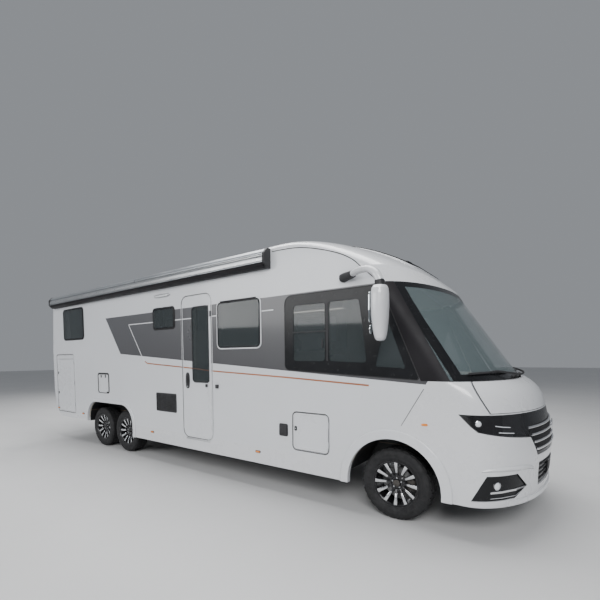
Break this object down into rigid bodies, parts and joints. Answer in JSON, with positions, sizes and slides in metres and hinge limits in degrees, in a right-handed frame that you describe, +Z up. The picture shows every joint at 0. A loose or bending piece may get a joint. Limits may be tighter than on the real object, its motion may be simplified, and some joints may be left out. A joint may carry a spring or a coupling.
{
  "type": "motorhome",
  "caption": "Integrated motorhome on tandem rear axles: hollow moulded living body with wrap-round front, opening doors and lids, steered front wheels and awning case.",
  "frame": {"origin": "bottom centre of the overall box, on the ground midway between nose and tail", "axes": "+X forward, +Y to the left side, +Z up"},
  "size_m": [8.6997, 3.01, 2.9253],
  "materials": {
    "body_white": "gloss",
    "skirt_white": "painted gloss",
    "roof_white": "satin",
    "mask_white": "gloss",
    "pillar_black": "gloss",
    "glass": "clear",
    "tinted_acrylic": "tinted",
    "smoked_acrylic": "smoked",
    "grille_black": "gloss",
    "lamp_lens": "clear cover over dark housing",
    "awning_silver": "anodised",
    "mirror_white": "gloss",
    "axle_steel": "satin",
    "cast_iron": "as cast",
    "galvanised": "galvanised",
    "engine_iron": "as cast",
    "tank_plastic": "matt",
    "dash_plastic": "matt",
    "seat_leather": "grained",
    "furniture_wood": "satin",
    "door_white": "gloss",
    "floor_black": "coated",
    "wheel_leather": "grained",
    "tyre": "matt",
    "alloy": "machined"
  },
  "bodies": {
    "body": {"a_pillars": "pillar_black", "awning_case": "awning_silver", "axles": "axle_steel", "cab_seats": "seat_leather", "chassis_frame": "galvanised", "dashboard": "dash_plastic", "engine": "engine_iron", "floor": "floor_black", "front_mask": "mask_white", "furniture": "furniture_wood", "grille": "grille_black", "lights": "lamp_lens", "mirrors": "mirror_white", "rear_panel": "body_white", "roof": "roof_white", "roof_cap": "mask_white", "roof_windows": "smoked_acrylic", "side_skirts": "skirt_white", "side_wall_left": "body_white", "side_wall_right": "body_white", "side_windows": "tinted_acrylic", "water_tanks": "tank_plastic", "windscreen": "glass"},
    "entrance_door": {"entrance_door": "door_white", "entrance_door_window": "tinted_acrylic"},
    "garage_door_right": {"garage_door_right": "door_white"},
    "garage_door_left": {"garage_door_left": "door_white"},
    "service_hatch": {"service_hatch": "door_white"},
    "cassette_hatch": {"cassette_hatch": "door_white"},
    "bonnet": {"bonnet": "mask_white"},
    "steering_wheel": {"steering_wheel": "wheel_leather"},
    "right_knuckle": {"right_knuckle": "cast_iron"},
    "left_knuckle": {"left_knuckle": "cast_iron"},
    "front_right_wheel": {"front_right_tyre": "tyre", "front_right_rim": "alloy"},
    "front_left_wheel": {"front_left_tyre": "tyre", "front_left_rim": "alloy"},
    "middle_right_wheel": {"middle_right_tyre": "tyre", "middle_right_rim": "alloy"},
    "middle_left_wheel": {"middle_left_tyre": "tyre", "middle_left_rim": "alloy"},
    "rear_right_wheel": {"rear_right_tyre": "tyre", "rear_right_rim": "alloy"},
    "rear_left_wheel": {"rear_left_tyre": "tyre", "rear_left_rim": "alloy"}
  },
  "joints": [
    {"name": "entrance_door_hinge", "type": "hinge", "parent": "body", "child": "entrance_door", "pos_m": [0.615, -1.174, 1.47], "axis": [0, 0, 1], "range_deg": [0, 165]},
    {"name": "garage_door_right_hinge", "type": "hinge", "parent": "body", "child": "garage_door_right", "pos_m": [-3.348, -1.174, 1.12], "axis": [0, 0, 1], "range_deg": [0, 165]},
    {"name": "garage_door_left_hinge", "type": "hinge", "parent": "body", "child": "garage_door_left", "pos_m": [-3.348, 1.174, 1.12], "axis": [0, 0, -1], "range_deg": [0, 165]},
    {"name": "service_hatch_hinge", "type": "hinge", "parent": "body", "child": "service_hatch", "pos_m": [2.414, -1.174, 0.77], "axis": [0, 0, 1], "range_deg": [0, 115]},
    {"name": "cassette_hatch_hinge", "type": "hinge", "parent": "body", "child": "cassette_hatch", "pos_m": [-2.243, -1.174, 1.01], "axis": [1, 0, 0], "range_deg": [0, 160]},
    {"name": "bonnet_hinge", "type": "hinge", "parent": "body", "child": "bonnet", "pos_m": [3.732, 0, 1.4], "axis": [0, -1, 0], "range_deg": [0, 45]},
    {"name": "right_steering", "type": "hinge", "parent": "body", "child": "right_knuckle", "pos_m": [3.112, -0.895, 0.351], "axis": [0, 0, 1], "range_deg": [-35, 35]},
    {"name": "left_steering", "type": "hinge", "parent": "body", "child": "left_knuckle", "pos_m": [3.112, 0.895, 0.351], "axis": [0, 0, 1], "range_deg": [-35, 35]},
    {"name": "steering_wheel_turn", "type": "hinge", "parent": "body", "child": "steering_wheel", "pos_m": [2.592, 0.56, 1.33], "axis": [-0.848, 0, 0.5299], "range_deg": [-540, 540]},
    {"name": "front_right_wheel_spin", "type": "hinge", "parent": "right_knuckle", "child": "front_right_wheel", "pos_m": [3.112, -0.97, 0.351], "axis": [0, 1, 0], "continuous": true},
    {"name": "front_left_wheel_spin", "type": "hinge", "parent": "left_knuckle", "child": "front_left_wheel", "pos_m": [3.112, 0.97, 0.351], "axis": [0, 1, 0], "continuous": true},
    {"name": "middle_right_wheel_spin", "type": "hinge", "parent": "body", "child": "middle_right_wheel", "pos_m": [-1.688, -0.97, 0.351], "axis": [0, 1, 0], "continuous": true},
    {"name": "middle_left_wheel_spin", "type": "hinge", "parent": "body", "child": "middle_left_wheel", "pos_m": [-1.688, 0.97, 0.351], "axis": [0, 1, 0], "continuous": true},
    {"name": "rear_right_wheel_spin", "type": "hinge", "parent": "body", "child": "rear_right_wheel", "pos_m": [-2.473, -0.97, 0.351], "axis": [0, 1, 0], "continuous": true},
    {"name": "rear_left_wheel_spin", "type": "hinge", "parent": "body", "child": "rear_left_wheel", "pos_m": [-2.473, 0.97, 0.351], "axis": [0, 1, 0], "continuous": true}
  ],
  "couplings": [
    {"joint": "left_steering", "follows": "right_steering", "ratio": 1},
    {"joint": "steering_wheel_turn", "follows": "right_steering", "ratio": 15}
  ]
}
